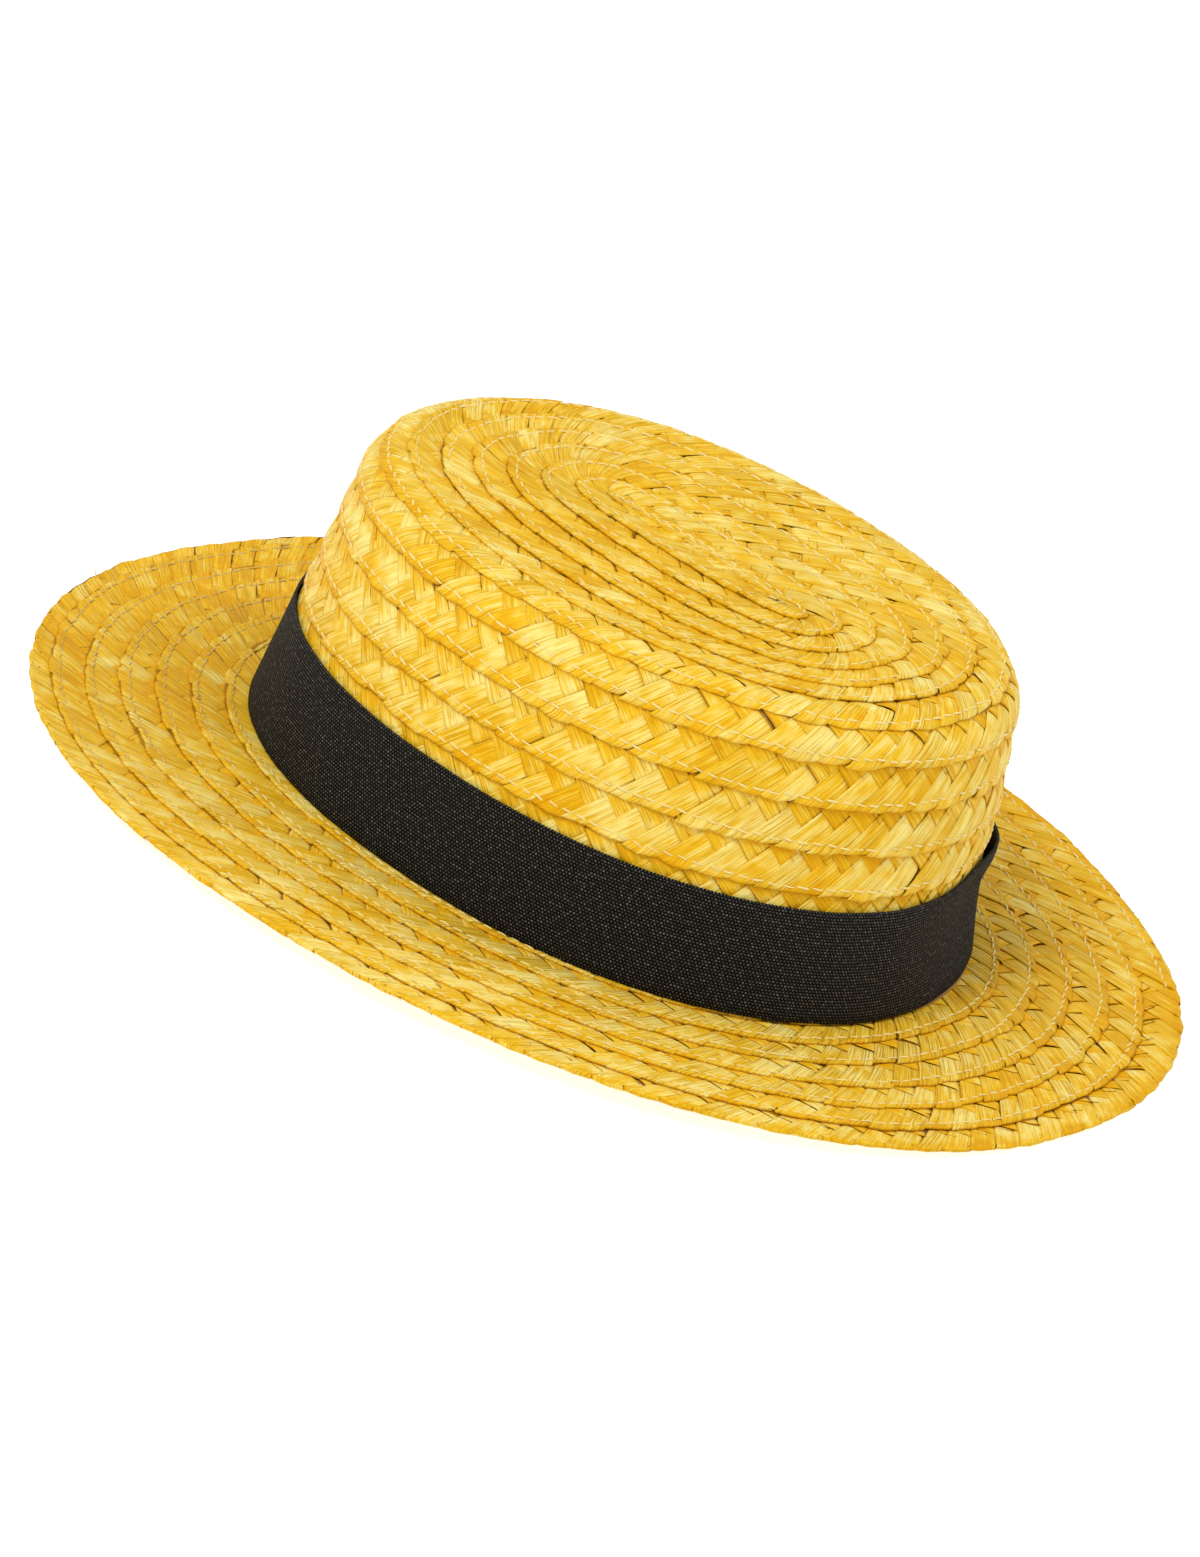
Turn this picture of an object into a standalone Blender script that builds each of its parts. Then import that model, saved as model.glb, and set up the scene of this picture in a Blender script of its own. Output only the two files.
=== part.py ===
"""A straw boater hat: a plaited straw crown on a plaited straw brim, with a woven ribbon round its foot.

Metres, +Z up. The hat stands on its brim, with the floor at z = 0, its length along X and the
middle of the head opening over the origin.
"""

from math import atan2, copysign, cos, hypot, pi, radians, sin

import bmesh
import bpy
from mathutils import Vector

# Sizes over the straw
BRIM_LENGTH = 0.319
BRIM_WIDTH = 0.287
CROWN_LENGTH = 0.205
CROWN_WIDTH = 0.168
TIP_LENGTH = 0.1865
TIP_WIDTH = 0.1515
CROWN_HEIGHT = 0.080
SHOULDER_RADIUS = 0.0115

# The plait, whose rows lap like shingles from the tip outwards
PLAIT_THICKNESS = 0.0016
LAP_STEP = 0.0008
TIP_ROWS = 6
BEND_ROWS = 2
SIDE_ROWS = 6
BRIM_ROWS = 6
SEAT_MARGIN = 0.0050
START_SEAM_LENGTH = 0.062

# How square each oval is: 2 is an ellipse, and more is fuller at the corners
START_FULLNESS = 3.0
CROWN_FULLNESS = 2.16
BRIM_FULLNESS = 2.12

# How the brim lies: it droops from the crown to two flat lobes and lifts between them
SEAT_RISE = 0.0025
EDGE_MEAN_RISE = 0.0012
EDGE_WAVE = 0.00275
LOBE_ANGLE = radians(25.5)
DROOP_END = 0.85

# The ribbon, straight cut, so that its upper edge is slack where the crown tapers away
RIBBON_WIDTH = 0.030
RIBBON_THICKNESS = 0.0009
RIBBON_LAP = 0.022
RIBBON_LAP_ANGLE = radians(98)
SLACK = 0.0028
SLACK_ANGLE = radians(30)
SLACK_SPREAD = radians(42)

# Fits, and the counts of facets
PIECE_GAP = 0.0003
CENTRE_GAP = 0.00001
WELD = 0.00005
FACET_COUNT = 56
ARC_FACET_COUNT = 3
RIBBON_FACET_COUNT = 3

STRAW_COLOUR = (0.83, 0.56, 0.10, 1.0)
RIBBON_COLOUR = (0.012, 0.011, 0.011, 1.0)

WALL = PLAIT_THICKNESS + LAP_STEP
SEAT_TOP = SEAT_RISE + WALL
CROWN_FOOT = SEAT_TOP + PIECE_GAP
START_GAIN = START_SEAM_LENGTH / 2
TIP_GAIN = (TIP_LENGTH - TIP_WIDTH) / 2
FOOT_GAIN = (CROWN_LENGTH - CROWN_WIDTH) / 2
EDGE_GAIN = (BRIM_LENGTH - BRIM_WIDTH) / 2


def material(name, colour, roughness):
    made = bpy.data.materials.new(name)
    made.use_nodes = True
    shader = made.node_tree.nodes["Principled BSDF"]
    shader.inputs["Base Color"].default_value = colour
    shader.inputs["Roughness"].default_value = roughness
    shader.inputs["Metallic"].default_value = 0.0
    return made


def between(value, low, high):
    """How far value is from low to high, from 0 to 1."""
    return min(max((value - low) / (high - low), 0.0), 1.0)


def mixed(low, high, share):
    return low + (high - low) * share


# Plan: every level of the hat is an oval, longer than wide by a gain at each end


def on_oval(w, gain, fullness, turn):
    """The point of the oval of half width w that a circle has at the angle turn."""
    power = 2 / fullness
    x = copysign(abs(cos(turn)) ** power, cos(turn)) * (w + gain)
    y = copysign(abs(sin(turn)) ** power, sin(turn)) * w
    return x, y


def on_crown(block, w, turn, z):
    """The place of a point of the crown or ribbon, whose oval changes with height and across the tip."""
    if z > block.centre.y:
        share = between(w, 0, block.flat)
        gain = mixed(START_GAIN, TIP_GAIN, share)
        fullness = mixed(START_FULLNESS, CROWN_FULLNESS, share)
    else:
        gain = mixed(FOOT_GAIN, TIP_GAIN, between(z, CROWN_FOOT, block.centre.y))
        fullness = CROWN_FULLNESS
    return (*on_oval(w, gain, fullness, turn), z)


def on_brim(w, turn, z):
    """The place of a point of the brim, whose oval changes from the crown's foot to the edge."""
    share = between(w, CROWN_WIDTH / 2, BRIM_WIDTH / 2)
    gain = mixed(FOOT_GAIN, EDGE_GAIN, share)
    fullness = mixed(CROWN_FULLNESS, BRIM_FULLNESS, share)
    return (*on_oval(w, gain, fullness, turn), z + droop(w, turn))


# Profile of the crown's block: the inner face of the straw, from the middle of the tip to the foot


class Block:
    """The crown's inner face seen in its short section, measured by the distance from the tip's middle."""

    def __init__(self):
        self.foot = Vector((CROWN_WIDTH / 2 - WALL, CROWN_FOOT))
        self.radius = SHOULDER_RADIUS - WALL
        top = CROWN_FOOT + CROWN_HEIGHT - WALL
        side_top = Vector((TIP_WIDTH / 2 - WALL, top - self.radius))
        self.flat = side_top.x - self.radius
        self.centre = Vector((self.flat, top - self.radius))
        down = self.foot - side_top
        self.lean = atan2(down.x, -down.y)
        self.arc = self.radius * (pi / 2 - self.lean)
        self.side_start = self.centre + self.radius * Vector((cos(self.lean), sin(self.lean)))
        self.side = (self.foot - self.side_start).length
        self.top = top

    def point(self, along, outwards):
        """The point that far along the face and that far out of it."""
        if along <= self.flat:
            return Vector((along, self.top + outwards))
        if along <= self.flat + self.arc:
            turn = pi / 2 - (along - self.flat) / self.radius
            return self.centre + (self.radius + outwards) * Vector((cos(turn), sin(turn)))
        share = (along - self.flat - self.arc) / self.side
        normal = Vector((cos(self.lean), sin(self.lean)))
        return self.side_start.lerp(self.foot, share) + outwards * normal

    def rows(self):
        """Where each row of plait starts and ends along the face, with its facets."""
        found = []
        reached = 0.0
        tip = (self.flat, TIP_ROWS, 1)
        shoulder = (self.arc, BEND_ROWS, ARC_FACET_COUNT)
        side = (self.side, SIDE_ROWS, 1)
        for length, count, facets in (tip, shoulder, side):
            for row in range(count):
                start = reached + row * length / count
                found.append((start, start + length / count, facets))
            reached += length
        return found


def crown_profile(block):
    """The crown's outer face in lapped rows, its foot, and its plain inner face."""
    outer = []
    inner = []
    for start, end, facets in block.rows():
        for facet in range(facets + 1):
            share = facet / facets
            along = mixed(start, end, share)
            outer.append(block.point(along, PLAIT_THICKNESS + share * LAP_STEP))
            if facet < facets:
                inner.append(block.point(along, 0))
    inner.append(block.foot.copy())
    outer[-1].y = CROWN_FOOT
    outer[0].x = CENTRE_GAP
    inner[0].x = CENTRE_GAP
    return [tuple(p) for p in outer + inner[::-1]]


# The brim: a flat seat under the crown and ribbon, then lapped rows to the edge


def seat_width():
    """Half width at which the seat ends, a margin outside the ribbon's foot."""
    return CROWN_WIDTH / 2 + PIECE_GAP + RIBBON_THICKNESS + SEAT_MARGIN


def brim_profile():
    inner_edge = CROWN_WIDTH / 2 - WALL
    seat = seat_width()
    pitch = (BRIM_WIDTH / 2 - seat) / BRIM_ROWS
    top = [(inner_edge, SEAT_TOP), (seat, SEAT_TOP)]
    under = [(inner_edge, SEAT_RISE)]
    for row in range(BRIM_ROWS):
        start = seat + row * pitch
        top += [(start, SEAT_RISE + PLAIT_THICKNESS), (start + pitch, SEAT_TOP)]
        under.append((start, SEAT_RISE))
    drooped = mixed(seat, BRIM_WIDTH / 2, DROOP_END)
    under[-1] = (drooped, SEAT_RISE)
    under.append((BRIM_WIDTH / 2, SEAT_RISE))
    return top + under[::-1]


def edge_rise(turn):
    """Height of the brim's underside at its edge: flat on the floor at two lobes, lifted between them."""
    return max(EDGE_MEAN_RISE - EDGE_WAVE * cos(2 * (turn - LOBE_ANGLE)), 0.0)


def droop(w, turn):
    """How far the brim at this place lies above or below its seat."""
    share = between(w, seat_width(), mixed(seat_width(), BRIM_WIDTH / 2, DROOP_END))
    eased = share * share * (3 - 2 * share)
    return (edge_rise(turn) - SEAT_RISE) * eased


# The ribbon: a band that stands on the seat, against the crown


def ribbon_profile(block):
    """The band's section: its inner face just clear of the rows' edges, and its outer face."""
    normal = Vector((cos(block.lean), sin(block.lean)))
    upwards = Vector((-sin(block.lean), cos(block.lean)))
    foot = Vector((CROWN_WIDTH / 2 + PIECE_GAP, CROWN_FOOT))
    inner = []
    outer = []
    for band in range(RIBBON_FACET_COUNT + 1):
        height = RIBBON_WIDTH * band / RIBBON_FACET_COUNT
        inner.append(foot + height * upwards)
        outer.append(foot + height * upwards + RIBBON_THICKNESS * normal)
    outer[0].y = CROWN_FOOT
    return [tuple(p) for p in inner + outer[::-1]]


def slack(turn, height):
    """How far the ribbon stands off the crown: nothing at its foot, most at its upper edge."""
    off = (turn - SLACK_ANGLE + pi) % (2 * pi) - pi
    bulge = 0.5 + 0.5 * cos(pi * min(abs(off) / SLACK_SPREAD, 1.0))
    return SLACK * bulge * between(height, 0, RIBBON_WIDTH) ** 1.5


def in_lap(turn):
    """Whether the ribbon's end lies over its beginning here."""
    radius = (CROWN_WIDTH + CROWN_LENGTH) / 4
    off = (turn - RIBBON_LAP_ANGLE + pi) % (2 * pi) - pi
    return abs(off) * radius <= RIBBON_LAP / 2


# Solids


def turned(profile, closed):
    """The profile, drawn in the XZ plane, spun into rings of FACET_COUNT points."""
    mesh = bmesh.new()
    points = [mesh.verts.new((w, 0, z)) for w, z in profile]
    pairs = list(zip(points, points[1:]))
    if closed:
        pairs.append((points[-1], points[0]))
    edges = [mesh.edges.new(pair) for pair in pairs]
    bmesh.ops.spin(
        mesh,
        geom=points + edges,
        axis=(0, 0, 1),
        cent=(0, 0, 0),
        angle=2 * pi,
        steps=FACET_COUNT,
        use_merge=True,
        use_duplicate=False,
    )
    return mesh


def finished(name, mesh, colour_material, collection):
    bmesh.ops.remove_doubles(mesh, verts=mesh.verts, dist=WELD)
    bmesh.ops.recalc_face_normals(mesh, faces=mesh.faces)
    data = bpy.data.meshes.new(name)
    mesh.to_mesh(data)
    mesh.free()
    data.shade_smooth()
    data.set_sharp_from_angle(angle=radians(30))
    data.materials.append(colour_material)
    made = bpy.data.objects.new(name, data)
    collection.objects.link(made)
    return made


def shaped(mesh, place):
    """Moves each point of a turned mesh to where place puts its half width, turn and height."""
    for vertex in mesh.verts:
        w = hypot(vertex.co.x, vertex.co.y)
        turn = atan2(vertex.co.y, vertex.co.x)
        vertex.co = place(w, turn, vertex.co.z)


def crown(block, straw, collection):
    mesh = turned(crown_profile(block), closed=False)
    shaped(mesh, lambda w, turn, z: on_crown(block, w, turn, z))
    return finished("crown", mesh, straw, collection)


def brim(straw, collection):
    mesh = turned(brim_profile(), closed=True)
    shaped(mesh, on_brim)
    return finished("brim", mesh, straw, collection)


def ribbon(block, cloth, collection):
    inner_foot = CROWN_WIDTH / 2 + PIECE_GAP
    half_wall = RIBBON_THICKNESS / 2

    def place(w, turn, z):
        height = z - CROWN_FOOT
        face = inner_foot - height * sin(block.lean) / cos(block.lean)
        lapped = RIBBON_THICKNESS if w > face + half_wall and in_lap(turn) else 0.0
        return on_crown(block, w + slack(turn, height) + lapped, turn, z)

    mesh = turned(ribbon_profile(block), closed=True)
    shaped(mesh, place)
    return finished("ribbon", mesh, cloth, collection)


def main():
    for old in list(bpy.data.objects):
        bpy.data.objects.remove(old)
    collection = bpy.data.collections.new("straw_boater_hat")
    bpy.context.scene.collection.children.link(collection)
    straw = material("straw", STRAW_COLOUR, 0.5)
    cloth = material("ribbon_cloth", RIBBON_COLOUR, 0.85)
    block = Block()
    crown(block, straw, collection)
    brim(straw, collection)
    ribbon(block, cloth, collection)


main()
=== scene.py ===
from math import atan2, cos, pi, radians, sin

import bmesh
import bpy
import numpy as np
from mathutils import Matrix, Vector


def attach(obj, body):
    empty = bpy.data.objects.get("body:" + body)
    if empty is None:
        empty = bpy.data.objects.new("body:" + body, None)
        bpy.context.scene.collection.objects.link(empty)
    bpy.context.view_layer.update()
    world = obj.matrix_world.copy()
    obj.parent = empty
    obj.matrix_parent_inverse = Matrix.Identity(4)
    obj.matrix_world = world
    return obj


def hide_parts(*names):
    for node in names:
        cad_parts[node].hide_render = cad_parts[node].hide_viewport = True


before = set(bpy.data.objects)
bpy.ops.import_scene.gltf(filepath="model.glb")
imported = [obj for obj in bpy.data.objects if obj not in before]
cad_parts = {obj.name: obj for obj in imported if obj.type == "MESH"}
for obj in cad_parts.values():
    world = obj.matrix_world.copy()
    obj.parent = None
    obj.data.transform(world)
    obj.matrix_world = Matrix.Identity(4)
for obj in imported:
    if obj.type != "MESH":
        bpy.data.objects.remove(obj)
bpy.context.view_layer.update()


# The crown's body: the hidden thickness of the plait, which the strands are laid on inside and out.
# It is one hollow oval shell with a flat tip, a round shoulder and sides that taper towards the tip.

straw_wall = 0.0024
crown_foot = 0.0052
crown_height = 0.080
crown_half = 0.084
tip_half = 0.07575
shoulder_radius = 0.0115
tip_flat = tip_half - shoulder_radius
side_lean = atan2(crown_half - tip_half, crown_height - shoulder_radius)
shoulder_arc = shoulder_radius * (pi / 2 - side_lean)
shoulder_z = crown_foot + crown_height - shoulder_radius
side_start = (
    tip_flat + shoulder_radius * cos(side_lean),
    shoulder_z + shoulder_radius * sin(side_lean),
)
side_length = (side_start[1] - crown_foot) / cos(side_lean)
crown_run = tip_flat + shoulder_arc + side_length
start_gain = 0.031
tip_gain = 0.0175
foot_gain = 0.0185
start_fullness = 3.0
crown_fullness = 2.16
dent_depth = 0.0056
dent_angle = radians(20)
dent_spread = radians(30)
dent_z = 0.022
dent_height = 0.017


def share_of(value, low, high):
    return np.clip((value - low) / (high - low), 0.0, 1.0)


def eased(share):
    return share * share * (3 - 2 * share)


def hump(turn, middle, spread):
    """A smooth rise to 1 at an angle, from 0 at the spread to either side of it."""
    off = np.mod(turn - middle + pi, 2 * pi) - pi
    return 0.5 + 0.5 * np.cos(pi * np.minimum(np.abs(off) / spread, 1))


def on_oval(half, gain, fullness, turn):
    """The point that a circle has at the angle turn, on an oval of that half width, longer by gain at each end."""
    across, along = np.sin(turn), np.cos(turn)
    x = np.sign(along) * np.abs(along) ** (2 / fullness) * (half + gain)
    y = np.sign(across) * np.abs(across) ** (2 / fullness) * half
    return x, y


def on_crown(run, turn, proud):
    """The place on the crown that is run from the tip's middle, at the angle turn, and stands proud of its face.

    The ribbon draws the crown in a little at the right.
    """
    run, turn, proud = np.broadcast_arrays(run, turn, proud)
    bend = pi / 2 - (run - tip_flat) / shoulder_radius
    down = run - tip_flat - shoulder_arc
    half = np.where(
        run < tip_flat,
        run,
        np.where(
            down < 0,
            tip_flat + (shoulder_radius + proud) * np.cos(bend),
            side_start[0] + down * sin(side_lean) + proud * cos(side_lean),
        ),
    )
    z = np.where(
        run < tip_flat,
        crown_foot + crown_height + proud,
        np.where(
            down < 0,
            shoulder_z + (shoulder_radius + proud) * np.sin(bend),
            side_start[1] - down * cos(side_lean) + proud * sin(side_lean),
        ),
    )
    inward = share_of(half, 0, tip_flat)
    upward = share_of(z, crown_foot, shoulder_z)
    gain = np.where(
        z > shoulder_z,
        start_gain + (tip_gain - start_gain) * inward,
        foot_gain + (tip_gain - foot_gain) * upward,
    )
    fullness = np.where(z > shoulder_z, start_fullness + (crown_fullness - start_fullness) * inward, crown_fullness)
    x, y = on_oval(half, gain, fullness, turn)
    drawn_in = dent_depth * hump(turn, dent_angle, dent_spread) * np.exp(-(((z - dent_z) / dent_height) ** 2))
    return np.stack([x - drawn_in, y, z], axis=-1)


class Wire:
    """A socket of a material's nodes. The usual operators on it, and on numbers with it, write Math nodes."""

    def __init__(self, socket):
        self.socket = socket

    def node(self, kind, settings=(), inputs=(), output=0):
        """Adds a node of that kind beside this wire and gives back one of its outputs."""
        tree = self.socket.id_data
        made = tree.nodes.new(kind)
        for name, value in dict(settings).items():
            if name == "stops":
                while len(made.color_ramp.elements) < len(value):
                    made.color_ramp.elements.new(1.0)
                for stop, (place, colour) in zip(made.color_ramp.elements, value):
                    stop.position, stop.color = place, colour
            else:
                setattr(made, name, value)
        for name, value in dict(inputs).items():
            feed(made.inputs[name], value)
        return Wire(made.outputs[output])

    def maths(self, operation, *values):
        return self.node("ShaderNodeMath", {"operation": operation}, enumerate(values))

    def __add__(self, other):
        return self.maths("ADD", self, other)

    def __sub__(self, other):
        return self.maths("SUBTRACT", self, other)

    def __rsub__(self, other):
        return self.maths("SUBTRACT", other, self)

    def __mul__(self, other):
        return self.maths("MULTIPLY", self, other)

    def __pow__(self, other):
        return self.maths("POWER", self, other)

    __radd__ = __add__
    __rmul__ = __mul__


def feed(socket, value):
    """Links a wire to a socket, or sets the socket to a plain value."""
    if isinstance(value, Wire):
        socket.id_data.links.new(value.socket, socket)
    else:
        socket.default_value = value


def new_finish(name):
    """A material, its Principled shader, and a wire to start its nodes from."""
    made = bpy.data.materials.new(name)
    made.use_nodes = True
    shader = made.node_tree.nodes["Principled BSDF"]
    return made, shader, Wire(shader.outputs[0])


def mixed(start, share, low, high):
    """A colour between two, by a share from 0 to 1."""
    return start.node(
        "ShaderNodeMix",
        {"data_type": "RGBA"},
        {"Factor": share, "A": low, "B": high},
        output="Result",
    )


# The bodies' finish is painted shade: a dark grained brown for the straw that shows only in the shade of the gaps
# between strands.
straw_shade_colour = (0.20, 0.085, 0.010, 1.0)
shaded_straw_grain_colour = (0.36, 0.17, 0.025, 1.0)

shade_straw, shader, start = new_finish("straw_in_shade")
place = start.node("ShaderNodeTexCoord", output="Object")
grain = start.node("ShaderNodeTexNoise", inputs={"Vector": place, "Scale": 900.0, "Detail": 3.0}, output="Fac")
feed(shader.inputs["Base Color"], mixed(start, grain, straw_shade_colour, shaded_straw_grain_colour))
feed(shader.inputs["Roughness"], 0.8)


def shell(name, surface, profile, facets, clearance=0.001):
    """A closed shell: the profile, of runs and heights, spun round clear of the axis and laid on a surface."""
    mesh = bmesh.new()
    ring = [mesh.verts.new((run + clearance, 0, proud)) for run, proud in profile]
    edges = [mesh.edges.new(pair) for pair in zip(ring, ring[1:] + ring[:1])]
    bmesh.ops.spin(
        mesh,
        geom=ring + edges,
        axis=(0, 0, 1),
        cent=(0, 0, 0),
        angle=2 * pi,
        steps=facets,
        use_merge=True,
        use_duplicate=False,
    )
    at = np.array([v.co for v in mesh.verts])
    placed = surface(np.hypot(at[:, 0], at[:, 1]) - clearance, np.arctan2(at[:, 1], at[:, 0]), at[:, 2])
    for vertex, spot in zip(mesh.verts, placed):
        vertex.co = spot
    bmesh.ops.remove_doubles(mesh, verts=mesh.verts, dist=0.00004)
    bmesh.ops.recalc_face_normals(mesh, faces=mesh.faces)
    return finished(name, mesh)


def finished(name, mesh):
    """A smooth object of the mesh, which rides on the hat."""
    data = bpy.data.meshes.new(name)
    mesh.to_mesh(data)
    mesh.free()
    data.shade_smooth()
    made = bpy.data.objects.new(name, data)
    bpy.context.scene.collection.objects.link(made)
    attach(made, "root")
    return made


body_top = -0.00115
body_under = -0.00125
crown_stops = np.concatenate(
    [
        np.linspace(0.00001, tip_flat, 7),
        tip_flat + np.linspace(0.125, 1, 8) * shoulder_arc,
        tip_flat + shoulder_arc + np.linspace(0.25, 1, 4) * side_length,
    ]
)
crown_profile = [(run, body_top) for run in crown_stops] + [(run, body_under) for run in crown_stops[::-1]]
crown_body = shell("crown_body", on_crown, crown_profile, 128)
crown_body.data.materials.append(shade_straw)
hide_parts("crown")


# The brim's body: the hidden thickness of the brim's plait, one waved oval with the head's opening in it.
# It droops from the crown to two lobes that touch what the hat stands on, and lifts between them.
# A low collar at the opening meets the crown's foot and closes the seam behind the ribbon.

brim_half = 0.1435
seat_rise = 0.0025
seat_top = seat_rise + straw_wall
seat_half = 0.0902
edge_gain = 0.016
brim_fullness = 2.12
edge_mean_rise = 0.0012
edge_wave = 0.00275
lobe_angle = radians(25.5)
droop_half = seat_half + 0.85 * (brim_half - seat_half)


def on_brim(half, turn, proud):
    """The place on the brim's upper face at that half width and angle, standing proud of it."""
    half, turn, proud = np.broadcast_arrays(half, turn, proud)
    outward = share_of(half, crown_half, brim_half)
    gain = foot_gain + (edge_gain - foot_gain) * outward
    fullness = crown_fullness + (brim_fullness - crown_fullness) * outward
    x, y = on_oval(half, gain, fullness, turn)
    edge_rise = np.maximum(edge_mean_rise - edge_wave * np.cos(2 * (turn - lobe_angle)), 0.0)
    droop = (edge_rise - seat_rise) * eased(share_of(half, seat_half, droop_half))
    return np.stack([x, y, seat_top + droop + proud], axis=-1)


brim_inner = crown_half - straw_wall
brim_stops = np.linspace(brim_inner + 0.0006, brim_half - 0.0012, 9)
collar_rise = 0.00035
collar = [(brim_stops[0], collar_rise), (crown_half - 0.0006, collar_rise), (crown_half - 0.0003, body_top)]
brim_profile = collar + [(half, body_top) for half in brim_stops[1:]]
brim_profile += [(half, body_under) for half in brim_stops[::-1]]
brim_body = shell("brim_body", on_brim, brim_profile, 144)
brim_body.data.materials.append(shade_straw)
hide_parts("brim")


# The plait: five flattened straws woven over two and under two into a band about 14 mm wide.
# One long plait is wound from the tip's middle to the brim's edge, each turn sewn under the turn before.

turn_step = radians(50)
strand_pitch = 0.0087
strand_angle = radians(46)
plait_width = 0.0134
lap_rise = 0.00105
lap_reach = 0.0112
under_dive = 0.0010
start_jitter = 0.0003
angle_jitter = radians(1.6)
overlap = (0.00014, 0.00013)
pressed_overlap = 0.00022
meet_jitter = 0.00025
lip_bulge = 0.00040
lip_raggedness = 0.00028
rim_cut = (-0.0003, 0.0002)
free_end = 0.0009
tuck_length = 0.0022
tuck_stations = np.array([[-0.0016, -0.0009, under_dive]])
strand_tilt = (0.00010, 0.00004)
arch_range = (0.4, 1.5)
swell_jitter = 0.12
fold_heights = (0.00004, 0.00003)
rim_tuck = 0.0002
tuck_shade = (0.12, 0.40)
tone_jitter = 0.13
khaki_jitter = 0.10
floor_clearance = 0.0006
back_inset = 0.0004
lip_stations = np.array([0.5, 0.0, 0.45, 1.25, 2.0, 2.9]) / 1000
rising_relief = np.array([-0.75, -0.20, 0.24, 0.33, 0.12, 0.33, 0.37, 0.33, -0.28]) / 1000
rising_skew = np.array([0, 0, 0, 0, 0, 0.1, 0.6, 1, 1])
falling_stations = np.array([-0.02, 0, 0.25, 0.5, 0.75, 1, 0, 0, 0])
falling_relief = np.array([-0.45, 0.10, 0.30, 0.35, 0.36, 0.36, 0.36, 0.29, -0.28]) / 1000
# sheen is a painted sheen along each float, palest near where the floats meet; clearness is each station's distance
# from where the strand goes under, which sets the painted shadow there and at the lip's fold.
sheen = np.array([-0.14, -0.14, -0.14, -0.10, -0.02, 0.10, 0.18, 0.22, 0.10])
clearness = np.array([0, 0.6, 1.6, 1.6, 1.6, 1.6, 1.6, 0.9, -1.0])
side_stations = np.array([-1, -1, -0.84, 0, 0.84, 1, 1])
side_relief = np.array([-0.42, -0.07, 0.0, 0.07, 0.0, -0.07, -0.42]) / 1000
dice = np.random.default_rng(7)


class Winding:
    """Turns of the plait on a surface, measured in metres along its edge, and up from it across the plait."""

    def __init__(self, surface, edge, first, last, inward=1, reverse=False, rise=(0.0, -lap_rise), cover=None):
        self.surface, self.edge, self.inward, self.reverse, self.rise = surface, edge, inward, reverse, rise
        self.cover = cover or (lambda turns: edge(turns - inward))
        self.hand = 1 if reverse and inward > 0 else -1
        self.turns = np.linspace(first, last, int((last - first) * 720) + 1)
        run, angle = edge(self.turns), self.angle(self.turns)
        line = surface(run, angle, 0.0)
        self.reach = np.concatenate([[0.0], np.cumsum(np.linalg.norm(np.diff(line, axis=0), axis=1))])
        self.length = self.reach[-1]
        nudge = 0.001
        self.stretch = np.linalg.norm(surface(run - inward * nudge, angle, 0.0) - line, axis=1) / nudge

    def angle(self, turns):
        return turn_step - 2 * pi * turns

    def bare(self, along, up):
        """How far a point is from the line where the turn that covers it starts, in millimetres."""
        turns = np.interp(along, self.reach, self.turns)
        reach = self.inward * (self.edge(turns) - self.cover(turns)) * np.interp(along, self.reach, self.stretch)
        return (reach - up) * 1000

    def place(self, along, up, proud):
        """The point that far along the edge, that far up from it, and proud of the turns' common slope."""
        turns = np.interp(along, self.reach, self.turns)
        run = self.edge(turns) - self.inward * up / np.interp(along, self.reach, self.stretch)
        height = proud + self.rise[0] + (self.rise[1] - self.rise[0]) * up / lap_reach
        if self.reverse:
            height = back_inset - straw_wall - height
        points = self.surface(run, self.angle(turns), height)
        low = np.minimum(points[..., 2], floor_clearance)
        points[..., 2] += floor_clearance * np.exp(low / floor_clearance - 1) - low
        return points


def unit_cells(lengthways, crossways):
    """A grid of cells from a mesh operator: each point's two stations, and the faces."""
    mesh = bmesh.new()
    bmesh.ops.create_grid(mesh, x_segments=lengthways, y_segments=crossways, size=0.5)
    mesh.verts.index_update()
    spots = np.array([v.co[:2] for v in mesh.verts]) + 0.5
    faces = np.array([[v.index for v in face.verts] for face in mesh.faces])
    mesh.free()
    return np.rint(spots * (lengthways, crossways)).astype(int).T, faces


def joined(name, batches, faces, finish):
    """One object of many like patches: each batch holds points, a map in millimetres, and tones."""
    points, maps, tones, bare = (np.concatenate([batch[k] for batch in batches]) for k in range(4))
    count, each = points.shape[:2]
    corners = (faces[None] + each * np.arange(count)[:, None, None]).reshape(-1)
    data = bpy.data.meshes.new(name)
    data.vertices.add(count * each)
    data.vertices.foreach_set("co", points.reshape(-1))
    data.loops.add(len(corners))
    data.loops.foreach_set("vertex_index", corners)
    data.polygons.add(len(corners) // 4)
    data.polygons.foreach_set("loop_start", np.arange(0, len(corners), 4))
    data.update(calc_edges=True)
    layer = data.uv_layers.new(name="strand")
    layer.data.foreach_set("uv", maps.reshape(-1, 2)[corners].reshape(-1))
    tone = data.attributes.new("tone", "FLOAT_COLOR", "POINT")
    tone.data.foreach_set("color", tones.reshape(-1))
    open_part = data.attributes.new("bare", "FLOAT", "POINT")
    open_part.data.foreach_set("value", bare.reshape(-1))
    data.shade_smooth()
    data.materials.append(finish)
    made = bpy.data.objects.new(name, data)
    bpy.context.scene.collection.objects.link(made)
    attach(made, "root")
    return made


strand_spots, strand_faces = unit_cells(8, 6)


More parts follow.
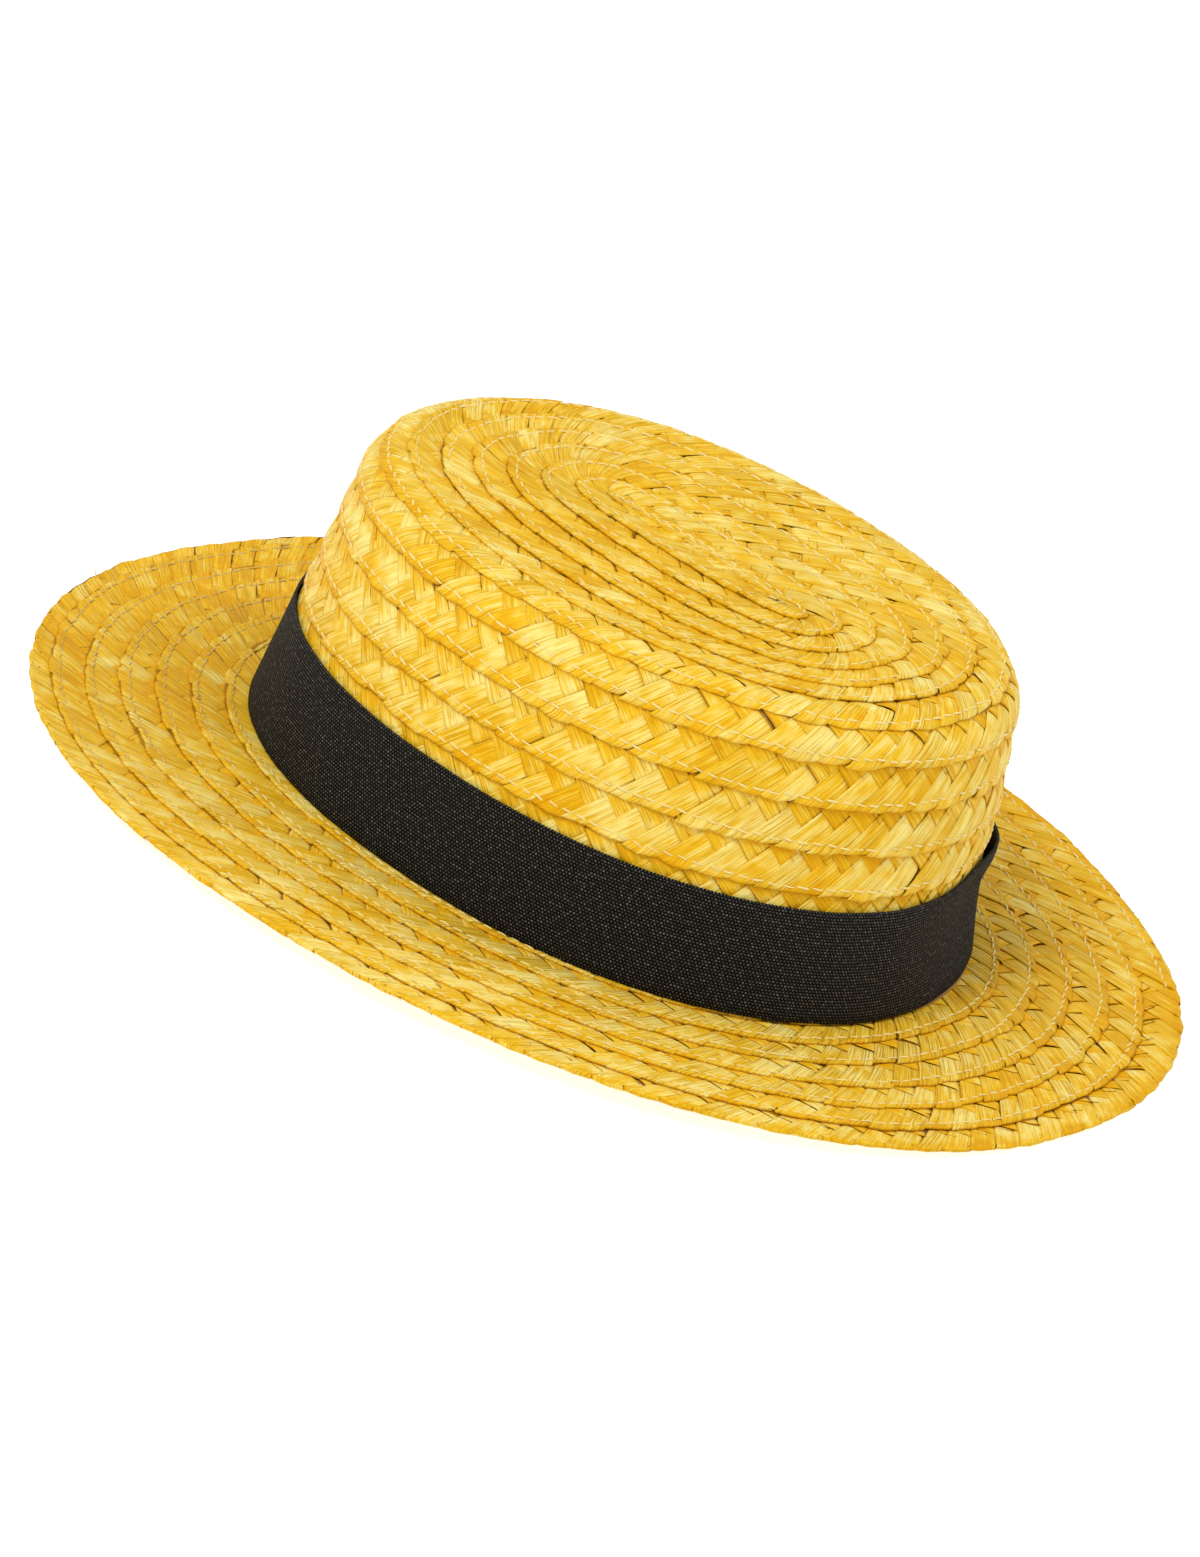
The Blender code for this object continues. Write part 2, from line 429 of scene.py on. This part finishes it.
def strands(winding, tint, middle=0.0080, kept=None, rim=False):
    """The two sets of floats that show: those that rise from the edge, and those that fall to meet them.

    They meet at the distance middle above the edge. A tint gives each float its paleness, its share of khaki, and
    how calm it lies, pressed flat and close to the next; calm also fades the painted shadow lines at its ends, its
    low side and the laps, and strengthens the painted sheen along it.
    """
    count = max(int(round(winding.length / strand_pitch)), 3)
    pitch = winding.length / count
    starts = (np.arange(count)[:, None] + 0.5) * pitch + dice.uniform(-start_jitter, start_jitter, (count, 1))
    turns_at = np.interp(starts, winding.reach, winding.turns)
    angle_at = winding.angle(turns_at)
    middles = middle(angle_at) if callable(middle) else np.full((count, 1), middle)
    station, cross = strand_spots
    side = side_stations[cross][None]
    batches = []
    for rising in (True, False):
        paleness, khaki, calm = tint(turns_at, angle_at, rising)
        angle = strand_angle + dice.normal(0, angle_jitter, (count, 1))
        width = pitch * np.sin(angle) + dice.normal(*overlap, (count, 1)) + pressed_overlap * calm
        meet = middles + dice.normal(0, meet_jitter, (count, 1))
        b = side * width / 2
        if rising:
            free = meet - free_end * np.sin(angle)
            level = np.concatenate(
                [
                    np.repeat(lip_stations[None], count, axis=0),
                    (lip_stations[-1] + free) / 2,
                    free,
                    meet + under_dive * np.sin(angle),
                ],
                axis=1,
            )
            a = level[:, station] / np.sin(angle) - (1 - rising_skew[station]) * b / np.tan(angle)
            ragged = dice.normal(0, lip_raggedness, (count, 3)) * (1 - 0.6 * rim)
            bulge = (lip_bulge + ragged[:, :1]) * (1 - side**2) + ragged[:, 1:2] + 0.7 * ragged[:, 2:] * side
            bulge = bulge * (station < 4) + rim * dice.uniform(*rim_cut, (count, 1)) * (station < 4)
            along = starts + winding.hand * (a * np.cos(angle) - b * np.sin(angle))
            up = a * np.sin(angle) + b * np.cos(angle) - bulge
            relief, lean = rising_relief[station], 1
        else:
            last = (plait_width - meet) / np.sin(angle)
            down = falling_stations[None] * (last - tuck_length)
            down[:, 6:] = last + tuck_stations
            a = down[:, station]
            reach = middles / np.tan(strand_angle) + pitch / 2 + (a - last) * np.cos(angle) + b * np.sin(angle)
            along = starts + winding.hand * reach
            up = plait_width - a * np.sin(angle) + b * np.cos(angle)
            relief, lean = falling_relief[station], -1
        tilt = dice.normal(*strand_tilt, (count, 1)) * lean
        arch = dice.uniform(*arch_range, (count, 1))
        swell = 1 + dice.normal(0, swell_jitter, (count, 1))
        pleat = dice.uniform(0, 6.3, (count, 1))
        proud = relief[None] * np.where(relief > 0, swell, 1)
        proud = proud + np.where(side_relief[cross] > 0, arch, 1 - 0.45 * calm) * side_relief[cross] + tilt * side
        proud = proud + fold_heights[0] * np.sin(a * 900 + pleat) + fold_heights[1] * np.sin(side * 3 + pleat)
        proud = proud - rim_tuck * rim * (station == 0)
        # Painted light rides on these tones: the paleness carries the painted sheen, the distance from where the
        # strand goes under sets the painted shadow at its ends and at the lip's fold, the distance from its side
        # sets the painted shadow along its low side, and the bare distance sets the painted shadow under the laps.
        tone = np.zeros((count, len(station), 4))
        tone[..., 0] = paleness + dice.normal(0, tone_jitter, (count, 1)) + calm * sheen[station]
        tucked = dice.uniform(*tuck_shade, (count, 1)) + 0.45 * calm
        tone[..., 1] = clearness[station] + (rim + 0.2 * calm) * (station == 0) + tucked * (station > 6)
        edge_shade = np.abs(dice.normal(0, 0.02, (count, 1))) + 0.045 * np.maximum(calm, 0)
        tone[..., 2] = 0.5 + 0.5 * side * lean + edge_shade
        tone[..., 3] = khaki + dice.normal(0, khaki_jitter, (count, 1))
        drift = dice.uniform(0, 300, (count, 2))
        maps = np.stack([a * 1000 + drift[:, :1], b * 1000 + drift[:, 1:]], axis=-1)
        points = winding.place(along, up, proud)
        bare = winding.bare(along, up) + 0.7 * calm
        keep = np.ones(count, bool) if kept is None else kept(points)
        batches.append((points[keep], maps[keep], tone[keep], bare[keep]))
    return batches


def straw_finish(name, ends, middle_colour, khaki_colour, groove_shade_colour, shadow_line_colour, roughness):
    """Satin straw: ribbed and streaked along each strand, with patches of painted sheen, painted shade in the low
    parts of its ribs and towards where it goes under, and painted shadow in the fine lines where a strand goes
    under, along its low side and under the laps.

    The tone attribute holds each strand's paleness, its distance from where it goes under, its distance
    from its side, and its share of khaki. The bare attribute is the distance from the turn that covers it.
    """
    made, shader, start = new_finish(name)
    place = start.node("ShaderNodeUVMap", {"uv_map": "strand"})
    read = start.node("ShaderNodeAttribute", {"attribute_name": "tone"}, output="Color")
    strand, clear, side = (read.node("ShaderNodeSeparateColor", inputs={"Color": read}, output=k) for k in range(3))
    khaki = start.node("ShaderNodeAttribute", {"attribute_name": "tone"}, output="Alpha")
    bare = start.node("ShaderNodeAttribute", {"attribute_name": "bare"}, output="Fac")

    def clouds(vector, scale, detail):
        inputs = {"Vector": vector, "Scale": scale, "Detail": detail}
        return start.node("ShaderNodeTexNoise", inputs=inputs, output="Fac")

    def spread_out(value, low, high):
        return start.node("ShaderNodeMapRange", inputs={"Value": value, "From Min": low, "From Max": high})

    def streaks(scale, detail):
        stretched = start.node("ShaderNodeMapping", inputs={"Vector": place, "Scale": scale})
        return spread_out(clouds(stretched, 1.0, detail), 0.32, 0.68)

    ribs = streaks((0.05, 2.0, 1.0), 1.0)
    hairs = streaks((0.12, 4.6, 1.0), 2.0)
    folds = streaks((0.16, 0.45, 1.0), 2.0)
    spot = start.node("ShaderNodeTexCoord", output="Object")
    patch = clouds(spot, 45.0, 2.0)
    lap_shadow_breaks = clouds(spot, 330.0, 1.0)
    # Painted sheen: pale patches a few millimetres across, added to the paleness.
    painted_sheen_patches = spread_out(clouds(spot, 150.0, 1.0), 0.48, 0.72)
    paleness = strand * 0.90 + ribs * 0.50 + hairs * 0.36 + folds * 0.36 + patch * 0.5 + painted_sheen_patches * 0.30 - 0.97
    straw = start.node(
        "ShaderNodeValToRGB",
        {"stops": [(0.0, ends[0]), (0.42, middle_colour), (1.0, ends[1])]},
        {"Fac": paleness},
    )
    straw = mixed(start, khaki * (1.35 - ribs), straw, khaki_colour)
    smooth = {"interpolation_type": "SMOOTHSTEP"}

    def fading(value, far, near, most):
        """A share that grows to most as the value falls from far to near."""
        inputs = {"Value": value, "From Min": far, "From Max": near, "To Min": 0.0, "To Max": most}
        return start.node("ShaderNodeMapRange", smooth, inputs)

    # Painted shadow: thin dark lines where a strand goes under the next, along each float's low side where its
    # neighbour overlaps it, and along the edges of the laps, broken up by noise.
    tucked = fading(clear, 0.30, 0.05, 0.58)
    side_shadow = fading(side, 0.060, 0.035, 0.60)
    lap_shadow = fading(bare + lap_shadow_breaks * 1.5, 1.30, 0.85, 0.64)
    # Painted shade: the low parts of the ribs darken towards the groove colour, most on the khaki floats.
    groove_shade = fading(ribs * 0.6 + hairs * 0.4, 0.42, 0.12, 1.0) * (khaki * 1.2 + 0.22)
    straw = mixed(start, groove_shade, straw, groove_shade_colour)
    # Painted shade: the straw darkens towards the deeper end colour near where it goes under and near the edge of
    # the turn that covers it.
    straw = mixed(start, fading(clear, 1.5, 0.2, 0.22), straw, ends[0])
    straw = mixed(start, fading(bare, 2.2, 0.2, 0.35), straw, ends[0])
    lines = start.maths("MAXIMUM", start.maths("MAXIMUM", tucked, side_shadow), lap_shadow)
    feed(shader.inputs["Base Color"], mixed(start, lines, straw, shadow_line_colour))
    feed(shader.inputs["Roughness"], roughness + ribs * 0.10)
    shader.inputs["Specular IOR Level"].default_value = 0.06
    relief = start.node(
        "ShaderNodeBump",
        inputs={"Height": ribs * 0.7 + hairs * 0.25 + folds * 0.5, "Strength": 0.8, "Distance": 0.00036},
    )
    feed(shader.inputs["Normal"], relief)
    return made


straw = straw_finish(
    "straw",
    ends=((0.77, 0.375, 0.003, 1.0), (0.93, 0.775, 0.23, 1.0)),
    middle_colour=(0.86, 0.52, 0.018, 1.0),
    khaki_colour=(0.55, 0.32, 0.016, 1.0),
    groove_shade_colour=(0.44, 0.19, 0.004, 1.0),
    shadow_line_colour=(0.28, 0.11, 0.003, 1.0),
    roughness=0.40,
)


# The crown's rows: a flat oval coil on the tip, then level turns that step down on the far side.
# The coil starts from a long narrow curl, and its turns hide their seams under each other.

crown_rows = [(-1.0, 0.0002), (-0.59, 0.0003), (0.0, 0.0063), (5.95, 0.0700), (6.2, 0.0728)]
side_edges = [0.0728, 0.0827, 0.0944, 0.1063, 0.1176, 0.1289, 0.1402, 0.1520]
for number, (edge, next_edge) in enumerate(zip(side_edges, side_edges[1:])):
    for share in (0.0, 0.25, 0.5, 0.75, 1.0):
        crown_rows.append((6.57 + number + 0.4 * share, edge + (next_edge - edge) * eased(share)))
crown_rows += [(13.57, 0.1520), (13.97, 0.1640)]


def crown_edge(turns):
    """How far a turn's edge lies from the tip's middle."""
    return np.interp(turns, *zip(*crown_rows))


def crown_cover(turns):
    """The turn inside each turn, or nothing at the coil's middle."""
    return np.where(turns < 0.4, -0.03, crown_edge(turns - 1))


def side_middle(angle):
    """The floats that rise are longest at the crown's right end, and meet the others lower at its left front."""
    return 0.0078 + 0.0011 * np.cos(angle - radians(15))


def crown_tint(turns, angle, rising):
    """Golden rising floats and pale falling ones at the left front, and the other way about at the right end: a
    painted sheen that lies on one set of floats at the left front and on the other at the right end. The floats lie
    calmest at the left.
    """
    left = 0.5 - 0.5 * np.cos(angle - radians(20))
    low = 0.25 * share_of(turns, 11.2, 12.0)
    paleness = 0.66 - 0.20 * left if rising else 0.22 + 0.40 * left
    return paleness - low, 0.02, 0.3 + left


def tip_tint(turns, angle, rising):
    """Duller than the sides, and least pressed at the front left, where the painted shadow lines at the laps and the
    floats' ends are darkest.
    """
    front_left = 0.5 + 0.5 * np.cos(angle - radians(232))
    return 0.52 if rising else 0.36, 0.06, 0.7 - 0.75 * front_left


def above_ribbon(points, hidden_height=0.018):
    """Leaves out what lies wholly behind the ribbon."""
    return points[..., 2].max(axis=1) > crown_foot + hidden_height


tip_winding = Winding(on_crown, crown_edge, -0.98, 6.03, cover=crown_cover)
joined("tip_plait", strands(tip_winding, tip_tint, 0.0088), strand_faces, straw)
side_winding = Winding(on_crown, crown_edge, 5.97, 12.5)
joined("side_plait", strands(side_winding, crown_tint, side_middle, above_ribbon), strand_faces, straw)


# The brim's upper face: seven turns of the plait, then a last one cut to the brim's oval.
# Near the ribbon the straws are ribbed and a dull khaki, and they are brighter towards the edge.

def brim_edge(turns):
    """The half width at a turn's edge. The rows are a little wider on one side than on the other."""
    pitch = 0.0097 + 0.0004 * np.cos(turn_step - 2 * pi * turns - radians(10))
    return 0.1423 + pitch * turns


def rim_edge(turns):
    """The last turn ends level with the brim's own edge."""
    return np.full_like(turns, brim_half)


def brim_tint(turns, angle, rising):
    """Golden at the left and right and paler in front, and khaki near the ribbon; the floats lie least calm at the
    left, where the painted shadow lines under the laps are darkest.
    """
    left = 0.5 + 0.5 * np.cos(angle - radians(190))
    right = 0.5 + 0.5 * np.cos(angle - radians(20))
    near_ribbon = share_of(-turns, 0.5, 5.5)
    front = np.maximum(np.cos(angle + radians(70)), 0)
    paleness = (0.54 if rising else 0.32) - 0.16 * left - 0.14 * right + 0.24 * front
    khaki = 0.04 + 0.52 * near_ribbon * (0.15 + 0.85 * right)
    return paleness, khaki if rising else khaki - 0.3, 1.1 - 1.15 * left


def outside_ribbon(points, hidden_half=0.0845):
    """Leaves out what lies wholly under the crown's foot."""
    reach = np.abs(points[..., 0] / (hidden_half + foot_gain)) ** crown_fullness
    reach = reach + np.abs(points[..., 1] / hidden_half) ** crown_fullness
    return reach.max(axis=1) > 1


brim_winding = Winding(on_brim, brim_edge, -7.0, 0.02)
rim_rise = (-0.0003, -0.0003 - lap_rise)
rim_winding = Winding(on_brim, rim_edge, -0.02, 1.02, rise=rim_rise, cover=lambda turns: brim_edge(turns - 1))
brim_batches = strands(brim_winding, brim_tint, 0.0083, outside_ribbon)
brim_batches += strands(rim_winding, brim_tint, 0.0083, rim=True)
joined("brim_plait", brim_batches, strand_faces, straw)


# The plait's reverse: the same turns seen from inside the crown and from under the brim.
# Each turn laps over the one before it there, and the last turn's straws fold round the brim's edge.

row_setback = 0.0125
back_rise = (0.0, -0.0009)


def foot_edge(turns):
    """The line that a turn's inner edge makes inside the crown, which stops just above the foot."""
    return np.clip(crown_edge(turns) - row_setback, 0.0002, crown_run - 0.003)


def opening_edge(turns):
    """The same under the brim, where the first turn lies level with the head's opening."""
    return brim_inner + (brim_edge(turns) - row_setback - brim_inner) * share_of(turns, -4.64, -4.60)


def inside_tint(turns, angle, rising):
    """A dull even straw, which hardly shows."""
    return 0.52 if rising else 0.40, 0.15, 0.5


def cut_at_foot(run, turn, proud):
    """The crown's surface for straws that end at its foot."""
    return on_crown(np.clip(run, 0.00005, crown_run), turn, proud)


def cut_at_opening(half, turn, proud):
    """The brim's surface for straws that end at the head's opening."""
    return on_brim(np.clip(half, brim_inner, brim_half), turn, proud)


inside_winding = Winding(cut_at_foot, foot_edge, -0.5, 14.2, -1, True, back_rise)
joined("inside_plait", strands(inside_winding, inside_tint, 0.0080), strand_faces, straw)
under_winding = Winding(cut_at_opening, opening_edge, -5.62, 0.02, -1, True, back_rise)
under_rim = Winding(
    on_brim, rim_edge, -0.02, 1.02, 1, True, (-0.0009, 0.0002), cover=lambda turns: np.full_like(turns, 0.05)
)
under_batches = strands(under_winding, inside_tint, 0.0080)
under_batches += strands(under_rim, inside_tint, 0.0075, rim=True)
joined("under_plait", under_batches, strand_faces, straw)


# The stitches: pale thread that sews each turn of the plait to the next, just inside the turn's edge.
# Each stitch is short, and bows up from the straw between the two holes it goes into.

stitch_pitch = 0.0040
stitch_length = 0.0037
thread_radius = 0.00028
stitch_spots, stitch_faces = unit_cells(5, 4)
stitch_faces = stitch_faces[:, ::-1]
stitch_inset = 0.0020
stitch_inset_behind = 0.0011
place_jitter = 0.00025
length_jitter = (-0.0004, 0.0003)
stitch_slant = (0.00022, 0.00016)
line_jitter = 0.00014
stitch_bow = (0.00030, 0.00042)


def stitches(winding, inset, kept=None, faint=0.0):
    """A run of stitches at an inset from each turn's edge, with the thread fainter towards the left end."""
    count = int(winding.length / stitch_pitch)
    station, cross = stitch_spots
    run = (station / 2.5 - 1)[None]
    around = ((cross / 2 - 1) * 1.8)[None]
    middle = (np.arange(count)[:, None] + 0.5) * stitch_pitch + dice.uniform(-place_jitter, place_jitter, (count, 1))
    long = stitch_length + dice.uniform(*length_jitter, (count, 1))
    round_about = thread_radius * (1 - 0.35 * run**4) * dice.uniform(0.8, 1.15, (count, 1))
    slant = dice.normal(*stitch_slant, (count, 1))
    wander = 0.00025 * np.sin(middle * 40) + 0.00015 * np.sin(middle * 170)
    drift = wander + dice.normal(0, line_jitter, (count, 1))
    along = middle + run * long / 2
    up = inset + drift + slant * run + round_about * np.sin(around)
    proud = stitch_bow[0] - stitch_bow[1] * run**4 + round_about * np.cos(around) * 0.9
    points = winding.place(along, up, proud)
    keep = np.ones(count, bool) if kept is None else kept(points)
    maps = np.stack([along * 1000, around / 6 + 0 * along], axis=-1)
    holes = np.zeros(points.shape[:2] + (4,))
    # Painted shade: the thread darkens towards each stitch's ends, where it goes into its holes; the faint share
    # also darkens it towards the left end.
    holes[..., 0] = run**4 * dice.uniform(-0.6, 1.0, (count, 1)) + faint * share_of(-points[..., 0], 0.02, 0.09)
    return [(points[keep], maps[keep], holes[keep], holes[keep, :, 1])]


thread, shader, start = new_finish("thread")
place = start.node("ShaderNodeUVMap", {"uv_map": "strand"})
ply = start.node("ShaderNodeTexWave", {"bands_direction": "DIAGONAL"}, {"Vector": place, "Scale": 1.6}, output="Fac")
hole = start.node("ShaderNodeAttribute", {"attribute_name": "tone"}, output="Color")
hole = hole.node("ShaderNodeSeparateColor", inputs={"Color": hole}, output="Red")
twine = mixed(start, ply, (0.76, 0.52, 0.11, 1.0), (0.95, 0.82, 0.38, 1.0))
# The thread's ends are painted shade, mixed towards brown where they go into the straw.
feed(shader.inputs["Base Color"], mixed(start, hole, twine, (0.52, 0.28, 0.012, 1.0)))
feed(shader.inputs["Roughness"], 0.55)
feed(
    shader.inputs["Normal"],
    start.node("ShaderNodeBump", inputs={"Height": ply, "Strength": 0.4, "Distance": 0.0001}),
)
front_stitches = stitches(tip_winding, stitch_inset) + stitches(side_winding, stitch_inset, above_ribbon)
front_stitches += stitches(brim_winding, stitch_inset, outside_ribbon, 0.6)
joined("stitches", front_stitches, stitch_faces, thread)
back_stitches = stitches(inside_winding, stitch_inset_behind) + stitches(under_winding, stitch_inset_behind)
joined("stitches_inside", back_stitches, stitch_faces, thread)


# Loose ends: a few straw fibres that stand away from the edges, and two on the crown's front.
# They are 1.6 to 3.4 mm long, taper to a point, and bend a little to one side.

# Each has its surface, the way out to its foot, its angle round the hat, its length and half thickness in
# millimetres, and the angle it stands up at.
loose_ends = [
    (on_brim, brim_half - 0.0012, 195, 3.4, 0.16, 55),
    (on_brim, brim_half - 0.0010, 71, 3.0, 0.08, 78),
    (on_brim, brim_half - 0.0010, 70, 2.2, 0.07, 48),
    (on_brim, brim_half - 0.0008, 58, 1.6, 0.16, 20),
    (on_brim, brim_half - 0.0010, 12, 1.8, 0.14, 15),
    (on_brim, brim_half - 0.0010, -20, 1.6, 0.12, 10),
    (on_brim, brim_half - 0.0010, -75, 1.8, 0.14, 12),
    (on_brim, brim_half - 0.0010, 172, 2.0, 0.14, 35),
    (on_crown, 0.0716, 158, 3.0, 0.13, 40),
    (on_crown, 0.0722, 154, 2.0, 0.10, 25),
    (on_crown, 0.0722, 75, 2.4, 0.16, 30),
    (on_crown, 0.0724, 25, 2.2, 0.14, 20),
    (on_crown, crown_run - 0.0448, -53.7, 3.2, 0.32, 16),
    (on_crown, crown_run - 0.0462, -52.4, 2.2, 0.30, 30),
]
fibre_tone = (0.25, 1.6, 0.5, 0.2)
run, around = stitch_spots[0][None] / 5, stitch_spots[1][None] * (pi / 2)
fibre_batches = []
for surface, reach, turn, length, thickness, lift in loose_ends:
    turn, lift = radians(turn), radians(lift)
    foot = surface(reach, turn, 0.0002)
    ahead = surface(reach + 0.001, turn, 0.0002) - foot
    above = surface(reach, turn, 0.0012) - foot
    ahead, above = ahead / np.linalg.norm(ahead), above / np.linalg.norm(above)
    beside = np.cross(ahead, above)
    bend = dice.uniform(-0.6, 0.6)
    along = ahead * cos(lift) + above * sin(lift)
    round_about = thickness * (1.1 - run)[..., None]
    line = run[..., None] * along + bend * run[..., None] ** 2 * beside
    across = np.cos(around)[..., None] * beside + np.sin(around)[..., None] * np.cross(along, beside)
    tone = np.tile(fibre_tone, (1, run.shape[1], 1))
    fibre = foot + (length * line + round_about * across) / 1000
    fibre_batches.append((fibre, np.stack([run * length, around * 0.2], axis=-1), tone, 9 + 0 * run))
joined("loose_fibres", fibre_batches, stitch_faces, straw)


# The ribbon: a black woven band about 30 mm wide, drawn round the crown's foot and lapped on the far side.
# It stands a little away from the crown at the right, where it was pulled on.

ribbon_width = 0.030
ribbon_gap = 0.0003
ribbon_thickness = 0.0009
slack = 0.0022
slack_angle = radians(41)
slack_spread = radians(20)
slack_dip = 0.0012
lap_angle = radians(98)
ribbon_lap = 0.022
thread_pitch = 0.00096
crossing_pitch = 0.00082
edge_notch = 0.00009
lap_turn = ribbon_lap / 0.0935
ribbon_angles = np.linspace(lap_angle + lap_turn / 2, lap_angle - lap_turn / 2 - 2 * pi, 2401)


def ribbon_line(height):
    """The ribbon's way round the crown at a height above the foot."""
    return on_crown(crown_run - height, ribbon_angles, ribbon_gap + ribbon_thickness / 2)


ribbon_steps = np.linalg.norm(np.diff(ribbon_line(ribbon_width / 2), axis=0), axis=1)
ribbon_reach = np.concatenate([[0.0], np.cumsum(ribbon_steps)])
ribbon_length = ribbon_reach[-1]
ribbon_cells = (2 * int(round(ribbon_length / thread_pitch)), 12)
mesh = bmesh.new()
bmesh.ops.create_grid(mesh, x_segments=ribbon_cells[0], y_segments=ribbon_cells[1], size=0.5)
at = np.array([v.co for v in mesh.verts])
share, rung = at[:, 0] + 0.5, at[:, 1] + 0.5
turn = np.interp(share * ribbon_length, ribbon_reach, ribbon_angles)
bulge = hump(turn, slack_angle, slack_spread)
notch = np.cos(pi * np.rint(share * ribbon_cells[0])) * edge_notch
height = rung * (ribbon_width - slack_dip * bulge)
height = height + np.where(rung > 0.99, notch, 0) + np.where(rung < 0.01, 0.0001 - notch, 0)
over = share_of(share * ribbon_length, ribbon_length - ribbon_lap - 0.006, ribbon_length - ribbon_lap)
ripple = 0.00010 * np.sin(turn * 11) * np.sin(pi * rung) + 0.00008 * np.sin(turn * 23 + 4 * rung)
proud = ribbon_gap + ribbon_thickness / 2 + slack * bulge * eased(share_of(rung, 0.58, 0.9))
proud = proud + (ribbon_thickness + 0.0001) * over + ripple
for vertex, spot in zip(mesh.verts, on_crown(crown_run - height, turn, proud)):
    vertex.co = spot
weave_map = mesh.loops.layers.uv.new("cloth")
for face in mesh.faces:
    for loop in face.loops:
        k = loop.vert.index
        loop[weave_map].uv = (share[k] * ribbon_length * 1000, rung[k] * ribbon_width * 1000)
bmesh.ops.recalc_face_normals(mesh, faces=mesh.faces)
ribbon_band = finished("ribbon_band", mesh)
wall = ribbon_band.modifiers.new("cloth_thickness", "SOLIDIFY")
wall.thickness = ribbon_thickness * 0.9
wall.offset = 0.0

ribbon_cloth, shader, start = new_finish("ribbon_cloth")
cloth = start.node("ShaderNodeUVMap", {"uv_map": "cloth"})
lengthways, upwards = (cloth.node("ShaderNodeSeparateXYZ", inputs={"Vector": cloth}, output=k) for k in range(2))
course = start.maths("FLOOR", upwards * (1 / (crossing_pitch * 1000)))
brick = start.maths("MODULO", course, 2.0) * 0.5
weft = start.maths("SINE", (lengthways * (1 / (thread_pitch * 1000)) + brick) * pi)
warp = start.maths("SINE", upwards * (pi / (crossing_pitch * 1000)))
knot = start.maths("ABSOLUTE", weft) * start.maths("ABSOLUTE", warp)
speck = start.node("ShaderNodeTexNoise", inputs={"Vector": cloth, "Scale": 0.9, "Detail": 3.0}, output="Fac")
# Painted highlight: the tops of the thread crossings and the scattered glints on them are lighter in colour, and the
# glints are also glossier.
glint = (knot * knot) * start.node("ShaderNodeMapRange", inputs={"Value": speck, "From Min": 0.50, "From Max": 0.76})
black, painted_glint_colour = (0.0012, 0.001, 0.0008, 1.0), (0.20, 0.184, 0.155, 1.0)
feed(shader.inputs["Base Color"], mixed(start, (knot**3.0) * 0.40 + glint * 1.5, black, painted_glint_colour))
feed(shader.inputs["Roughness"], 0.70 + glint * -0.25)
shader.inputs["Specular IOR Level"].default_value = 0.10
feed(
    shader.inputs["Normal"],
    start.node("ShaderNodeBump", inputs={"Height": knot, "Strength": 1.0, "Distance": 0.00050}),
)
ribbon_band.data.materials.append(ribbon_cloth)
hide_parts("ribbon")


# The stage: a pale floor, soft studio light, and the camera at the photograph's angle.
# The camera is rolled a little, as the photograph was, so the hat leans to one side in it.

floor = bmesh.new()
bmesh.ops.create_grid(floor, x_segments=1, y_segments=1, size=6)
floor_data = bpy.data.meshes.new("floor")
floor.to_mesh(floor_data)
floor.free()
floor = bpy.data.objects.new("floor", floor_data)
bpy.context.scene.collection.objects.link(floor)
paint, shader, start = new_finish("pale_floor")
feed(shader.inputs["Base Color"], (0.5, 0.5, 0.5, 1.0))
feed(shader.inputs["Roughness"], 0.9)
shader.inputs["Emission Color"].default_value = (1.0, 1.0, 1.0, 1.0)
shader.inputs["Emission Strength"].default_value = 0.78
floor_data.materials.append(paint)

world = bpy.data.worlds.new("studio")
bpy.context.scene.world = world
world.use_nodes = True
world.node_tree.nodes["Background"].inputs["Color"].default_value = (1.0, 1.0, 1.0, 1.0)
world.node_tree.nodes["Background"].inputs["Strength"].default_value = 0.72


def softbox(name, place, target, size, power):
    """A square soft lamp that faces a target."""
    lamp = bpy.data.lights.new(name, "AREA")
    lamp.shape = "SQUARE"
    lamp.size = size
    lamp.energy = power
    made = bpy.data.objects.new(name, lamp)
    facing = (Vector(target) - Vector(place)).to_track_quat("-Z", "Y")
    made.matrix_world = Matrix.Translation(place) @ facing.to_matrix().to_4x4()
    bpy.context.scene.collection.objects.link(made)


softbox("key_light", (1.0, 1.3, 1.8), (0, 0, 0.04), 0.6, 10)
softbox("front_light", (-0.15, -1.3, 1.9), (0, 0, 0.04), 0.7, 22.2)

camera_place = (1.2352, -1.8486, 0.9899)
azimuth, elevation, roll = radians(33.91), radians(23.66), radians(18.22)
back = Vector((sin(azimuth) * cos(elevation), -cos(azimuth) * cos(elevation), sin(elevation)))
level = Vector((cos(azimuth), sin(azimuth), 0))
upright = back.cross(level)
across = level * cos(roll) + upright * sin(roll)
upward = upright * cos(roll) - level * sin(roll)
camera = bpy.data.cameras.new("camera")
camera.sensor_fit = "VERTICAL"
camera.sensor_height = 36.0
camera.lens = 216.8
camera.clip_end = 50
camera_object = bpy.data.objects.new("camera", camera)
turned = Matrix((across, upward, back)).transposed().to_4x4()
camera_object.matrix_world = Matrix.Translation(camera_place) @ turned
bpy.context.scene.collection.objects.link(camera_object)
bpy.context.scene.camera = camera_object
bpy.context.scene.view_settings.view_transform = "Standard"
